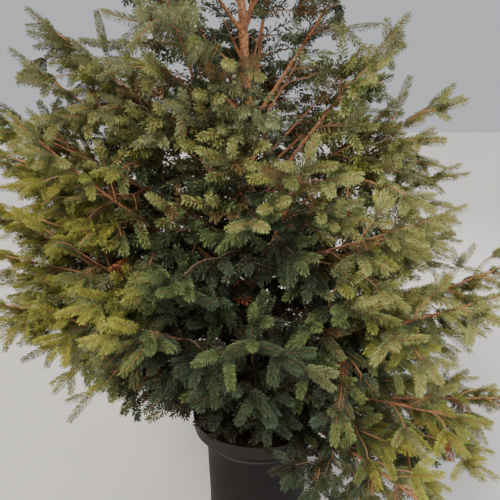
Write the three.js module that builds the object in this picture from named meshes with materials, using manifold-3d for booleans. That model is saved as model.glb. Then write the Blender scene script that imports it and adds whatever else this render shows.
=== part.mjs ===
// A young spruce about three metres tall, growing in a wide black nursery pot.
// Millimetres, +Z up. The origin is the middle of the pot's underside, and -Y is the side shown.
import * as THREE from "three";
import { mergeVertices } from "three/addons/utils/BufferGeometryUtils.js";
import Module from "manifold-3d";

const wasm = await Module();
wasm.setup();

// Pot
const POT_HEIGHT = 400;
const COLLAR_RADIUS = 250;
const COLLAR_HEIGHT = 55;
const BODY_TOP_RADIUS = 206;
const BASE_RADIUS = 192;
const POT_WALL = 5;
const POT_FLOOR = 7;
const LIP_RADIUS = 254;
const LIP_HEIGHT = 7;
const RING_DROP = 42;
const RING_PROUD = 3;
const STEP_DROP = 68;
const STEP_DEPTH = 2;
const POT_SIDES = 32;
const HOLE_COUNT = 6;
const HOLE_RADIUS = 13;
const HOLE_CIRCLE = 140;
const HOLE_SIDES = 12;
const FOOT_EDGE = 4;
const SHELF_SLOPE = 6;
const COLLAR_EDGE = 1;
const COLLAR_DRAFT = 2;
const LIP_EDGE = 2;

// Soil
const SOIL_LEVEL = 360;
const SOIL_MOUND = 6;
const SOIL_STEP = 3;
const SOIL_RINGS = [150, 75];

// Trunk
const TRUNK_TIP = 2690;
const TRUNK_SIDES = 10;
const TRUNK_STEPS = 13;
const TRUNK_BASE_RADIUS = 33;
const TRUNK_TIP_RADIUS = 3.4;
const TRUNK_LEAN = -0.0343;
const TRUNK_SWAY = 5;
const SWAY_LENGTH = 900;
const FLARE_RADIUS = 15;
const FLARE_HEIGHT = 45;
const FLARE_LOBES = 5;
const LOBE_DEPTH = 0.16;
const CROSS_SWAY = -0.6;
const RING_CLOSING = 1.7;

// Boughs and the stems of the foliage
const GAP = 0.3;
const BOUGH_SHARE = 0.34;
const BOUGH_SIDES = 5;
const BOUGH_STEPS = 3;
const STEM_SIDES = 3;
const STEM_STEPS = 3;
const STOUTNESS = 0.0108;
const LIMB_TAPER = 0.84;
const SHORTEST_RADIUS = 2.4;
const AXIS_STEPS = 24;
const STEEPEST_SIDE = 0.15;
const SWEEP = 4;

// Sprays of needles
const FIRST_SPRAY = 0.39;
const LAST_SPRAY = 0.8;
const LONGEST_SPRAY = 0.43;
const SHORTEST_SPRAY = 0.19;
const SPRAY_ANGLE = 54;
const SPRAY_CLOSING = 14;
const SPRAY_DROOP = 13;
const TIP_SPRAY = 0.28;
const TIP_START = 0.78;
const STEM_END = 0.81;
const FINGER_SPACING = 92;
const MOST_FINGERS = 4;
const SPRAY_THICKNESS = 0.03;
const THINNEST_SPRAY = 5.2;
const SPRAY_THINNING = 0.55;
const NOTCH_SHARE = 0.8;
const NOTCH_REACH = 0.04;
const FINGER_FORWARD = 0.1;
const FINGER_REACH = 0.36;
const FINGER_SHORTENING = 0.18;
const FINGER_DROOP = 0.045;
const TIP_DROOP = 0.02;
const CLEARANCE = 1.2;
const LOWEST_SPRAY = 45;
const THREE_PAIRS_FROM = 700;
const UPRIGHT_FROM = 500;
const SPREAD = { share: 0.05, hand: 0.015, angle: 10, lift: 16, upright: 0.1 };
const ROLL = { most: 28, range: 70, upright: 40, upright_range: 45 };
const HANGING = { share: 0.5, hand: 0, angle: -46, length: 0.26 };
const STANDING = { share: 0.66, hand: 0, angle: 36, length: 0.2 };
const TRIES = [[1, 0], [0.9, -8], [0.85, 8], [0.72, -14], [0.7, 12], [0.55, 0]];
const WHORL_SEED = 101;
const BOUGH_SEED = 13;
const LEADER_SEED = 991;

// Each whorl: its height on the trunk, then its boughs. A bough has its bearing in degrees from
// +X towards +Y, its length, its rise at the trunk, and the bend that is added by its tip. A mass
// that springs from the trunk has no bough of its own, only its stem.
const WHORLS = [
  {
    name: "low",
    height: 475,
    boughs: [
      { bearing: -14, length: 1010, rise: 4, bend: 3 },
      { bearing: -52, length: 960, rise: 3, bend: -8 },
      { bearing: 154, length: 900, rise: 8, bend: 14 },
      { bearing: 72, length: 920, rise: 6, bend: 12 },
      { bearing: -152, length: 930, rise: 31, bend: 4, from_trunk: true },
    ],
  },
  {
    name: "second",
    height: 650,
    boughs: [
      { bearing: 186, length: 1130, rise: 29, bend: 10 },
      { bearing: -112, length: 930, rise: 24, bend: 6 },
      { bearing: -42, length: 960, rise: 22, bend: 8 },
      { bearing: 6, length: 1060, rise: 16, bend: 6 },
      { bearing: 108, length: 1000, rise: 27, bend: 12 },
    ],
  },
  {
    name: "third",
    height: 900,
    boughs: [
      { bearing: 162, length: 1120, rise: 32, bend: 8 },
      { bearing: -146, length: 1010, rise: 33, bend: 12 },
      { bearing: -82, length: 930, rise: 34, bend: 10 },
      { bearing: -14, length: 800, rise: 24, bend: 4 },
      { bearing: 70, length: 980, rise: 36, bend: 12 },
    ],
  },
  {
    name: "fourth",
    height: 1190,
    boughs: [
      { bearing: -26, length: 820, rise: 53, bend: -4 },
      { bearing: 176, length: 1060, rise: 47, bend: -10 },
      { bearing: -116, length: 880, rise: 46, bend: 8 },
      { bearing: 98, length: 900, rise: 47, bend: 8 },
      { bearing: 16, length: 830, rise: 20, bend: 2 },
    ],
  },
  {
    name: "fifth",
    height: 1490,
    boughs: [
      { bearing: -4, length: 800, rise: 56, bend: 2 },
      { bearing: 132, length: 830, rise: 50, bend: 8 },
      { bearing: -148, length: 840, rise: 48, bend: 6 },
      { bearing: -78, length: 740, rise: 50, bend: 8 },
    ],
  },
  {
    name: "sixth",
    height: 1800,
    from_trunk: true,
    boughs: [
      { bearing: 186, length: 660, rise: 52, bend: 8 },
      { bearing: -66, length: 630, rise: 50, bend: 10 },
      { bearing: 60, length: 640, rise: 52, bend: 8 },
    ],
  },
  {
    name: "seventh",
    height: 2110,
    from_trunk: true,
    boughs: [
      { bearing: 150, length: 480, rise: 52, bend: 12 },
      { bearing: -62, length: 470, rise: 50, bend: 12 },
      { bearing: 32, length: 480, rise: 52, bend: 12 },
    ],
  },
  {
    name: "top",
    height: 2410,
    from_trunk: true,
    boughs: [
      { bearing: 214, length: 310, rise: 54, bend: 12 },
      { bearing: -34, length: 300, rise: 52, bend: 12 },
      { bearing: 92, length: 310, rise: 54, bend: 12 },
    ],
  },
];
const LEADER = { bearing: -90, length: 310, rise: 86, bend: 2 };

const UP = new THREE.Vector3(0, 0, 1);

const finish = {
  plastic: { color: 0x2b2829, roughness: 0.62, metalness: 0 },
  soil: { color: 0x3a2a20, roughness: 0.98, metalness: 0 },
  bark: { color: 0x7a5238, roughness: 0.9, metalness: 0 },
  needles: { color: 0x4f6b30, roughness: 0.75, metalness: 0 },
};

// Numbers from 0 to 1, always the same for one seed.
function seeded(seed) {
  let state = seed >>> 0;
  return () => {
    state = (state + 0x6d2b79f5) >>> 0;
    let t = Math.imul(state ^ (state >>> 15), 1 | state);
    t = (t + Math.imul(t ^ (t >>> 7), 61 | t)) ^ t;
    return ((t ^ (t >>> 14)) >>> 0) / 4294967296;
  };
}

function radians(degrees) {
  return THREE.MathUtils.degToRad(degrees);
}

function toSolid(geometry) {
  const bare = geometry.clone();
  bare.deleteAttribute("normal");
  bare.deleteAttribute("uv");
  const merged = mergeVertices(bare, 1e-3);
  const vertProperties = new Float32Array(merged.attributes.position.array);
  const triVerts = new Uint32Array(merged.index.array);
  return new wasm.Manifold(
    new wasm.Mesh({ numProp: 3, vertProperties, triVerts }),
  );
}

function toGeometry(solid) {
  const mesh = solid.getMesh();
  const geometry = new THREE.BufferGeometry();
  const positions = new THREE.BufferAttribute(mesh.vertProperties, 3);
  geometry.setAttribute("position", positions);
  geometry.setIndex(new THREE.BufferAttribute(mesh.triVerts, 1));
  return geometry;
}

function named(name, solid, look) {
  const material = new THREE.MeshStandardMaterial(look);
  const mesh = new THREE.Mesh(toGeometry(solid), material);
  mesh.name = name;
  return mesh;
}

function heading(bearing, rise) {
  const level = Math.cos(radians(rise));
  return new THREE.Vector3(
    Math.cos(radians(bearing)) * level,
    Math.sin(radians(bearing)) * level,
    Math.sin(radians(rise)),
  );
}

// The trunk leans a little to one side, with a slow sway.
function trunkCentre(z) {
  const above = z - SOIL_LEVEL;
  const sway = TRUNK_SWAY * Math.sin((2 * Math.PI * above) / SWAY_LENGTH);
  return new THREE.Vector3(TRUNK_LEAN * above + sway, CROSS_SWAY * sway, z);
}

function trunkRadius(z) {
  const share = (z - SOIL_LEVEL) / (TRUNK_TIP - SOIL_LEVEL);
  const flare = FLARE_RADIUS * Math.exp(-(z - SOIL_LEVEL) / FLARE_HEIGHT);
  return THREE.MathUtils.lerp(TRUNK_BASE_RADIUS, TRUNK_TIP_RADIUS, share) + flare;
}

// A cylinder's rings are moved to the trunk's heights, closer together in the root flare.
function trunkSolid(extra) {
  const geometry = new THREE.CylinderGeometry(
    1, 1, 1, TRUNK_SIDES, TRUNK_STEPS,
  );
  const point = geometry.attributes.position;
  for (let i = 0; i < point.count; i++) {
    const share = Math.pow(point.getY(i) + 0.5, RING_CLOSING);
    const z = SOIL_LEVEL + GAP + share * (TRUNK_TIP - SOIL_LEVEL - GAP);
    const around = Math.atan2(point.getX(i), point.getZ(i));
    const out = Math.hypot(point.getX(i), point.getZ(i));
    const rooting = Math.exp(-(z - SOIL_LEVEL) / FLARE_HEIGHT);
    const lobe = 1 + LOBE_DEPTH * rooting * Math.cos(FLARE_LOBES * around);
    const radius = (trunkRadius(z) * lobe + extra) * out;
    const centre = trunkCentre(z);
    point.setXYZ(
      i,
      centre.x + Math.sin(around) * radius,
      centre.y - Math.cos(around) * radius,
      z,
    );
  }
  return toSolid(geometry);
}

// The pot is one turned wall: a floor, a plain body with a thin ring and a step, and a wide collar.
function potSolid() {
  const shoulder = POT_HEIGHT - COLLAR_HEIGHT;
  const ring = shoulder - RING_DROP;
  const step = shoulder - STEP_DROP;
  const bodyRadius = (z) =>
    THREE.MathUtils.lerp(BASE_RADIUS, BODY_TOP_RADIUS, z / shoulder);
  const outside = [
    [BASE_RADIUS - FOOT_EDGE, 0],
    [BASE_RADIUS, FOOT_EDGE],
    [bodyRadius(step) - STEP_DEPTH, step],
    [bodyRadius(step), step + 2 * STEP_DEPTH],
    [bodyRadius(ring), ring - RING_PROUD],
    [bodyRadius(ring) + RING_PROUD, ring],
    [bodyRadius(ring), ring + RING_PROUD],
    [BODY_TOP_RADIUS, shoulder + SHELF_SLOPE],
    [COLLAR_RADIUS - COLLAR_DRAFT - COLLAR_EDGE, shoulder],
    [COLLAR_RADIUS - COLLAR_DRAFT, shoulder + COLLAR_EDGE],
    [COLLAR_RADIUS, POT_HEIGHT - LIP_HEIGHT],
    [LIP_RADIUS, POT_HEIGHT - LIP_HEIGHT + LIP_EDGE],
    [LIP_RADIUS, POT_HEIGHT - LIP_EDGE],
    [LIP_RADIUS - LIP_EDGE, POT_HEIGHT],
  ];
  const inside = [
    [COLLAR_RADIUS - POT_WALL, POT_HEIGHT - COLLAR_EDGE],
    [COLLAR_RADIUS - POT_WALL - COLLAR_DRAFT, shoulder + SHELF_SLOPE + POT_WALL],
    [BODY_TOP_RADIUS - POT_WALL, shoulder + SHELF_SLOPE + POT_WALL],
    [BASE_RADIUS - POT_WALL, POT_FLOOR],
  ];
  const profile = [[0, 0], ...outside, ...inside, [0, POT_FLOOR]];
  return turned(profile).subtract(drainHoles());
}

function turned(profile) {
  const points = profile.map(([radius, z]) => new THREE.Vector2(radius, z));
  const geometry = new THREE.LatheGeometry(points, POT_SIDES);
  geometry.rotateX(Math.PI / 2);
  return toSolid(geometry);
}

function drainHoles() {
  const holes = [];
  for (let i = 0; i < HOLE_COUNT; i++) {
    const angle = (2 * Math.PI * (i + 0.5)) / HOLE_COUNT;
    const hole = new THREE.CylinderGeometry(
      HOLE_RADIUS, HOLE_RADIUS, 4 * POT_FLOOR, HOLE_SIDES,
    );
    hole.rotateX(Math.PI / 2);
    hole.translate(
      Math.cos(angle) * HOLE_CIRCLE,
      Math.sin(angle) * HOLE_CIRCLE,
      0,
    );
    holes.push(toSolid(hole));
  }
  return wasm.Manifold.union(holes);
}

// The soil fills the pot up to its level, and rises a little towards the trunk.
function soilSolid() {
  const shelf = POT_HEIGHT - COLLAR_HEIGHT + SHELF_SLOPE + POT_WALL + GAP;
  const collar = COLLAR_RADIUS - POT_WALL - COLLAR_DRAFT - GAP;
  const body = BODY_TOP_RADIUS - POT_WALL - GAP;
  const foot = BASE_RADIUS - POT_WALL - GAP;
  const profile = [
    [0, POT_FLOOR + GAP],
    [foot, POT_FLOOR + GAP],
    [body, shelf],
    [collar, shelf],
    [collar, SOIL_LEVEL - SOIL_MOUND],
    [SOIL_RINGS[0], SOIL_LEVEL - SOIL_STEP],
    [SOIL_RINGS[1], SOIL_LEVEL],
    [0, SOIL_LEVEL],
  ];
  return turned(profile);
}

// The middle line of a bough, from the trunk's own middle line to the bough's tip.
function axisOf(bough, height) {
  const points = [trunkCentre(height)];
  const step = bough.length / AXIS_STEPS;
  for (let i = 0; i < AXIS_STEPS; i++) {
    const share = (i + 0.5) / AXIS_STEPS;
    const rise = bough.rise + bough.bend * share;
    const along = heading(bough.bearing + bough.sweep * share, rise);
    points.push(points[i].clone().addScaledVector(along, step));
  }
  return new THREE.CatmullRomCurve3(points);
}

function limbRadius(bough, share) {
  const thick = STOUTNESS * bough.length * (1 - LIMB_TAPER * share);
  return Math.max(thick, SHORTEST_RADIUS);
}

// A tapering limb: a cylinder whose rings are moved along the axis from one share to another.
function limbSolid(bough, from, to, sides, steps) {
  const geometry = new THREE.CylinderGeometry(1, 1, 1, sides, steps);
  const point = geometry.attributes.position;
  for (let i = 0; i < point.count; i++) {
    const share = THREE.MathUtils.lerp(from, to, point.getY(i) + 0.5);
    const centre = bough.axis.getPointAt(share);
    const along = bough.axis.getTangentAt(share);
    const side = sideOf(along, bough.bearing);
    const over = new THREE.Vector3().crossVectors(side, along);
    const radius = limbRadius(bough, share);
    centre.addScaledVector(side, point.getX(i) * radius);
    centre.addScaledVector(over, point.getZ(i) * radius);
    point.setXYZ(i, centre.x, centre.y, centre.z);
  }
  return toSolid(geometry);
}

// The level direction to the right of a limb that points along.
function sideOf(along, bearing) {
  const side = new THREE.Vector3().crossVectors(along, UP);
  if (side.length() < STEEPEST_SIDE) return heading(bearing - 90, 0);
  return side.normalize();
}

// The outline of a spray on one side: each finger's tip and the notch behind the next finger, as
// shares of the spray's length along it and out from it.
function fingerOutline(fingers) {
  const outline = [];
  for (let i = 0; i < fingers; i++) {
    const near = (i + 1) / (fingers + NOTCH_SHARE);
    const reach = FINGER_REACH - (FINGER_SHORTENING * i) / fingers;
    outline.push({ tip: [near + FINGER_FORWARD, reach], notch: [near, NOTCH_REACH] });
  }
  return outline;
}

// A spray is a toothed blade, thick along its rib, with its fingers a little lower than the rib.
function spraySolid(spray, extra) {
  const { root, along, side, length, fingers } = spray;
  const over = new THREE.Vector3().crossVectors(side, along);
  const half = Math.max(SPRAY_THICKNESS * length, THINNEST_SPRAY) / 2 + extra;
  const positions = [];
  const faces = [];
  const add = (u, v, w) => {
    const point = root.clone().addScaledVector(along, u);
    point.addScaledVector(side, v).addScaledVector(over, w);
    return positions.push(point.x, point.y, point.z) / 3 - 1;
  };
  const outline = fingerOutline(fingers);
  const ribs = [{ top: add(-extra, 0, half), under: add(-extra, 0, -half) }];
  outline.forEach(({ notch }, i) => {
    const thin = half * (1 - (SPRAY_THINNING * (i + 1)) / fingers);
    const u = notch[0] * length;
    ribs.push({ top: add(u, 0, thin), under: add(u, 0, -thin) });
  });
  const end = add(length + extra, 0, -TIP_DROOP * length);
  for (const hand of [1, -1]) {
    let from = add(-extra, hand * half, 0);
    const first = from;
    const put = (a, b, c) => faces.push(...(hand > 0 ? [a, b, c] : [a, c, b]));
    outline.forEach(({ tip, notch }, i) => {
      const low = -FINGER_DROOP * length;
      const finger = add(
        tip[0] * length, hand * (tip[1] * length + extra), low,
      );
      const next = add(
        notch[0] * length, hand * (notch[1] * length + extra), 0.2 * low,
      );
      const [near, far] = [ribs[i], ribs[i + 1]];
      put(near.top, from, finger);
      put(near.top, finger, next);
      put(near.top, next, far.top);
      put(near.under, finger, from);
      put(near.under, next, finger);
      put(near.under, far.under, next);
      from = next;
    });
    const last = ribs[ribs.length - 1];
    put(last.top, from, end);
    put(last.under, end, from);
    put(ribs[0].top, ribs[0].under, first);
  }
  const geometry = new THREE.BufferGeometry();
  const points = new Float32Array(positions);
  geometry.setAttribute("position", new THREE.BufferAttribute(points, 3));
  geometry.setIndex(faces);
  return toSolid(geometry);
}

// Where each spray of a bough leaves its stem and how it points. Sprays stand in pairs, left and
// right, and a few hang below or stand above the stem.
function spraysOf(bough) {
  const random = seeded(bough.seed);
  const sprays = [];
  const pairs = bough.pairs;
  for (let i = 0; i < pairs; i++) {
    const progress = i / (pairs - 1);
    for (const hand of [1, -1]) {
      const jitter = (random() - 0.5) * SPREAD.share + hand * SPREAD.hand;
      const share = FIRST_SPRAY + (LAST_SPRAY - FIRST_SPRAY) * progress + jitter;
      const size = THREE.MathUtils.lerp(LONGEST_SPRAY, SHORTEST_SPRAY, progress);
      const angle = SPRAY_ANGLE - SPRAY_CLOSING * progress;
      sprays.push({
        share,
        hand,
        angle: angle + (random() - 0.5) * SPREAD.angle,
        lift: -SPRAY_DROOP + (random() - 0.5) * SPREAD.lift,
        roll: hand * (ROLL.most - ROLL.range * random()),
        length: size * bough.length * (0.88 + 0.24 * random()),
      });
    }
  }
  for (const one of bough.length > UPRIGHT_FROM ? [HANGING, STANDING] : []) {
    const share = one.share + (random() - 0.5) * SPREAD.upright;
    const length = one.length * bough.length * (0.85 + 0.3 * random());
    const roll = ROLL.upright + ROLL.upright_range * random();
    sprays.push({ ...one, share, length, roll, lift: 0 });
  }
  return sprays;
}

function placed(bough, spray, shorten, turn) {
  const stem = bough.axis.getTangentAt(spray.share);
  const side = sideOf(stem, bough.bearing);
  const over = new THREE.Vector3().crossVectors(side, stem);
  const angle = radians(spray.angle + turn);
  const along = stem.clone().multiplyScalar(Math.cos(angle));
  let flat = side;
  if (spray.hand) {
    along.addScaledVector(side, spray.hand * Math.sin(angle));
    along.addScaledVector(over, Math.sin(radians(spray.lift)));
    flat = new THREE.Vector3().crossVectors(along, over);
  } else {
    along.addScaledVector(over, Math.sin(angle));
  }
  along.normalize();
  flat = flat.clone().addScaledVector(along, -flat.dot(along)).normalize();
  flat.applyAxisAngle(along, radians(spray.roll));
  const length = spray.length * shorten;
  return {
    root: bough.axis.getPointAt(spray.share),
    along,
    side: flat,
    length,
    fingers: fingersOn(length),
  };
}

function tipSpray(bough) {
  const along = bough.axis.getTangentAt(TIP_START);
  const length = TIP_SPRAY * bough.length;
  return {
    root: bough.axis.getPointAt(TIP_START),
    along,
    side: sideOf(along, bough.bearing),
    length,
    fingers: fingersOn(length),
  };
}

function fingersOn(length) {
  return THREE.MathUtils.clamp(Math.round(length / FINGER_SPACING), 2, MOST_FINGERS);
}

function boxesMeet(a, b) {
  return [0, 1, 2].every((k) => a.min[k] <= b.max[k] && b.min[k] <= a.max[k]);
}

// True where a thickened spray meets nothing but its own stem and stays above the ground.
function isFree(spray, owner, taken) {
  const grown = spraySolid(spray, CLEARANCE);
  const box = grown.boundingBox();
  if (box.min[2] < LOWEST_SPRAY) return false;
  return taken.every((other) => {
    if (other.owner === owner || !boxesMeet(box, other.box)) return true;
    return grown.intersect(other.solid).isEmpty();
  });
}

// Keeps a solid's space taken. Only a stem has an owner, whose sprays may meet it.
function take(taken, solid, owner = null) {
  taken.push({ solid, owner, box: solid.boundingBox() });
}

// A spray that would meet something is tried again shorter or turned, and left out after that.
function growSpray(bough, spray, taken) {
  for (const [shorten, turn] of TRIES) {
    const candidate = placed(bough, spray, shorten, turn);
    if (isFree(candidate, bough.name, taken)) return spraySolid(candidate, 0);
  }
  return null;
}

function allBoughs() {
  const boughs = [];
  WHORLS.forEach((whorl, w) => {
    whorl.boughs.forEach((one, i) => {
      boughs.push({
        ...one,
        name: `${whorl.name}_${i + 1}`,
        height: whorl.height,
        sweep: (i % 2 ? -1 : 1) * (SWEEP + w),
        start: whorl.from_trunk || one.from_trunk ? 0 : BOUGH_SHARE,
        seed: WHORL_SEED * (w + 1) + BOUGH_SEED * i,
        pairs: one.length > THREE_PAIRS_FROM ? 3 : 2,
      });
    });
  });
  boughs.forEach((bough) => (bough.axis = axisOf(bough, bough.height)));
  return boughs;
}

function leader() {
  const bough = { ...LEADER, name: "leader", sweep: 0, seed: LEADER_SEED, pairs: 2 };
  bough.start = GAP / bough.length;
  bough.axis = axisOf(bough, TRUNK_TIP);
  return bough;
}

function spruce() {
  const tree = new THREE.Group();
  const pot = potSolid();
  const soil = soilSolid();
  const trunkClear = trunkSolid(GAP);
  tree.add(named("pot", pot, finish.plastic));
  tree.add(named("soil", soil, finish.soil));
  tree.add(named("trunk", trunkSolid(0), finish.bark));
  const taken = [];
  take(taken, pot);
  take(taken, soil);
  take(taken, trunkClear);
  const boughs = allBoughs();
  for (const bough of boughs.filter((one) => one.start > 0)) {
    const whole = limbSolid(bough, 0, bough.start, BOUGH_SIDES, BOUGH_STEPS);
    const limb = whole.subtract(trunkClear);
    tree.add(named(`bough_${bough.name}`, limb, finish.bark));
    take(taken, limb);
  }
  boughs.push(leader());
  for (const bough of boughs) {
    const from = bough.start + (bough.start > 0 ? GAP / bough.length : 0);
    const whole = limbSolid(bough, from, STEM_END, STEM_SIDES, STEM_STEPS);
    bough.pieces = [whole.subtract(trunkClear)];
    take(taken, bough.pieces[0], bough.name);
  }
  for (const bough of boughs) {
    const tip = spraySolid(tipSpray(bough), 0);
    bough.pieces.push(tip);
    take(taken, tip);
  }
  for (const bough of boughs) {
    for (const spray of spraysOf(bough)) {
      const grown = growSpray(bough, spray, taken);
      if (!grown) continue;
      bough.pieces.push(grown);
      take(taken, grown);
    }
    const mass = wasm.Manifold.union(bough.pieces);
    tree.add(named(`foliage_${bough.name}`, mass, finish.needles));
  }
  return tree;
}

const tree = spruce();

export default tree;
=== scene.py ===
"""Looks for a potted spruce tree, laid out as a Blender add-on and run as a script."""

import math
import random

import bmesh
import bpy
import numpy as np
from bpy.props import FloatProperty, FloatVectorProperty, IntProperty, PointerProperty
from mathutils import Matrix, Vector, noise


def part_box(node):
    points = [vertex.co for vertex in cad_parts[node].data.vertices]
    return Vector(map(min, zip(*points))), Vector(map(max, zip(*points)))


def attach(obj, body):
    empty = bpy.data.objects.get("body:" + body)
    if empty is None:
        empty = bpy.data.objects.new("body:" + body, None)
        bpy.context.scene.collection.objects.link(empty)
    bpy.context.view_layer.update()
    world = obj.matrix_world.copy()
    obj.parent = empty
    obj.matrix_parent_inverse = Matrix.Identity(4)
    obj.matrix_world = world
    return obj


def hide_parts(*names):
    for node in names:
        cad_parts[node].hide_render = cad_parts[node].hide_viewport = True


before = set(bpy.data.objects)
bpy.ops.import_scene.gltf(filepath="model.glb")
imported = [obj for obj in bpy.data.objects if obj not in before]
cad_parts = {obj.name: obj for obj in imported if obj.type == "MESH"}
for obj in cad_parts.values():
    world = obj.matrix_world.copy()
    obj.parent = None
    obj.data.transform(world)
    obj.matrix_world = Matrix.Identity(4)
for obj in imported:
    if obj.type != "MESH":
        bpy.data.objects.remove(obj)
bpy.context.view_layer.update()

bl_info = {
    "name": "Potted spruce tree",
    "version": (1, 0, 0),
    "blender": (4, 5, 0),
    "location": "View3D > Sidebar > Spruce",
    "description": "Builds a young spruce in a nursery pot round its fixed solids",
    "category": "Object",
}

UP = Vector((0, 0, 1))

# The tree's own measures, the same as its solids have, in metres and degrees.
SOIL_LEVEL = 0.360
TRUNK_TIP = 2.690
TRUNK_BASE_RADIUS = 0.033
TRUNK_TIP_RADIUS = 0.0034
TRUNK_LEAN = -0.0343
TRUNK_SWAY = 0.005
SWAY_LENGTH = 0.9
FLARE_RADIUS = 0.015
FLARE_HEIGHT = 0.045
FLARE_LOBES = 5
STOUTNESS = 0.0108
LIMB_TAPER = 0.84
SHORTEST_RADIUS = 0.0024
AXIS_STEPS = 24
FIRST_SPRAY = 0.39
LAST_SPRAY = 0.80
LONGEST_SPRAY = 0.43
SHORTEST_SPRAY = 0.19
SPRAY_ANGLE = 54
SPRAY_CLOSING = 14
SPRAY_DROOP = 13

# The pot's collar, the ring and the step below its shoulder, and its body's radii.
COLLAR_HEIGHT = 0.055
RING_DROP = 0.042
STEP_DROP = 0.068
FOOT_RADIUS = 0.192
SHOULDER_RADIUS = 0.206

# Each whorl: name, height on the trunk, and its boughs as bearing, length, rise and bend.
WHORLS = [
    ("low", 0.475, [
        (-14, 1.01, 4, 3), (-52, 0.96, 3, -8), (154, 0.90, 8, 14), (72, 0.92, 6, 12),
        (-152, 0.93, 31, 4),
    ]),
    ("second", 0.650, [
        (186, 1.13, 29, 10), (-112, 0.93, 24, 6), (-42, 0.96, 22, 8),
        (6, 1.06, 16, 6), (108, 1.00, 27, 12),
    ]),
    ("third", 0.900, [
        (162, 1.12, 32, 8), (-146, 1.01, 33, 12), (-82, 0.93, 34, 10),
        (-14, 0.80, 24, 4), (70, 0.98, 36, 12),
    ]),
    ("fourth", 1.190, [
        (-26, 0.82, 53, -4), (176, 1.06, 47, -10), (-116, 0.88, 46, 8),
        (98, 0.90, 47, 8), (16, 0.83, 20, 2),
    ]),
    ("fifth", 1.490, [
        (-4, 0.80, 56, 2), (132, 0.83, 50, 8), (-148, 0.84, 48, 6), (-78, 0.74, 50, 8),
    ]),
    ("sixth", 1.800, [(186, 0.66, 52, 8), (-66, 0.63, 50, 10), (60, 0.64, 52, 8)]),
    ("seventh", 2.110, [(150, 0.48, 52, 12), (-62, 0.47, 50, 12), (32, 0.48, 52, 12)]),
    ("top", 2.410, [(214, 0.31, 54, 12), (-34, 0.30, 52, 12), (92, 0.31, 54, 12)]),
]
LEADER = (-90, 0.310, 86, 2)
NEEDLED_STEM = 2.20
BUSHY_TOP = 1.79
LOWEST_SHOOT = 0.05
POT_ROOM = 0.268
POT_TOP = 0.415
AXIS_START = 0.42
YEAR = 0.1
SHORTENING = 0.05
GOLDEN_ANGLE = 137.5

# The space that a mass's shoots may fill: round its solid, below it, and at its bough's root.
MASS_ROOM = Vector((0.045, 0.045, 0.045))
SAG_ROOM = 0.03
ROOT_ROOM = Vector((0.12, 0.12, 0.05))

# Thinner branches between the whorls: height on the trunk, bearing, length and rise.
THIN_BRANCHES = [
    (0.52, -50, 0.70, 2), (0.56, -34, 0.85, 4), (0.60, -84, 0.60, 8), (0.66, -96, 0.74, 14),
    (0.78, -132, 0.76, 20), (0.72, -74, 0.66, 16), (0.78, -102, 0.62, 20), (0.74, -90, 0.86, 18),
    (0.80, -64, 0.76, 20), (0.84, -112, 0.80, 22), (0.90, -84, 0.62, 22), (0.98, -48, 0.80, 20),
    (0.92, -104, 0.46, 14), (0.97, -124, 0.52, 18), (0.94, -70, 0.46, 16), (1.02, -96, 0.50, 20),
    (1.12, -98, 0.62, 32), (1.20, -92, 0.52, 34), (1.26, -112, 0.52, 34), (1.02, -120, 0.66, 26),
    (1.36, -134, 0.50, 38), (1.38, -95, 0.42, 38), (1.42, -118, 0.44, 42), (0.66, -136, 0.50, 8),
    (1.08, -80, 0.44, 22), (0.70, -116, 0.56, 10),
    (0.84, 192, 0.98, 14), (0.78, 166, 0.90, 14), (1.03, 150, 0.80, 28), (0.76, 178, 1.00, 14),
    (0.66, 182, 1.00, 9), (0.62, 213, 1.04, 37), (0.72, 196, 0.98, 12), (0.50, 215, 0.38, 4),
    (1.06, 176, 1.06, 28), (1.18, 190, 0.94, 34), (1.12, 182, 1.02, 24), (1.30, 172, 0.80, 36),
    (0.86, 184, 1.02, 18), (0.95, 172, 1.04, 22), (0.92, 198, 0.92, 20), (1.02, 190, 1.00, 24),
    (1.24, 200, 0.76, 40), (1.22, -136, 0.56, 30), (1.10, -104, 0.50, 24),
    (0.48, 6, 0.92, -2), (0.50, -30, 0.85, -2), (0.66, -22, 0.62, 6), (0.70, 12, 0.62, 8),
    (0.74, -40, 0.60, 12), (0.92, -32, 0.60, 16), (0.94, 14, 0.60, 14), (1.08, 26, 0.60, 24),
    (0.98, -20, 0.42, 26), (1.02, 20, 0.46, 22), (0.86, -10, 0.46, 18), (1.10, -44, 0.40, 28),
    (1.16, 12, 0.74, 36), (1.34, -20, 0.56, 44), (0.50, -64, 0.44, 0), (0.54, -8, 0.56, 2),
    (0.60, 30, 0.85, 10), (0.80, 26, 0.95, 16), (1.06, 10, 0.86, 18), (1.22, 2, 0.62, 30),
    (1.30, 34, 0.70, 34), (1.36, 64, 0.66, 38), (1.40, 110, 0.66, 40), (1.05, 110, 0.80, 30),
    (0.80, 90, 0.80, 24), (0.62, 130, 0.80, 12), (1.28, 88, 0.50, 30), (1.45, 80, 0.42, 38),
    (1.20, 124, 0.56, 30), (1.53, 100, 0.40, 42), (0.62, 84, 0.48, 4), (0.70, 62, 0.52, 6),
    (0.78, 118, 0.56, 8), (0.88, 84, 0.50, 10), (0.96, 112, 0.50, 14), (1.00, 66, 0.48, 14),
    (1.60, 152, 0.36, 42), (1.70, 118, 0.34, 44), (1.66, -166, 0.32, 40), (1.60, 84, 0.32, 44),
    (0.80, 172, 1.00, 20), (0.68, 174, 0.98, 14),
]
SKIRT_BRANCHES = 14

# Where the spiral of thinner branches stays open: the front between two heights, and the lower
# left round a bearing.
OPEN_FRONT_FROM = 1.1
OPEN_LEFT_TO = 1.15
OPEN_LEFT_BEARING = 208

# Where small dead tufts hang in the foliage, and how far they reach.
DRY_REACH = 0.032
DRY_TUFTS = [
    (-0.457, -0.321, 1.071), (-0.153, -0.306, 0.767), (0.238, -0.483, 0.780),
    (0.612, -0.420, 0.472),
]

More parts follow.
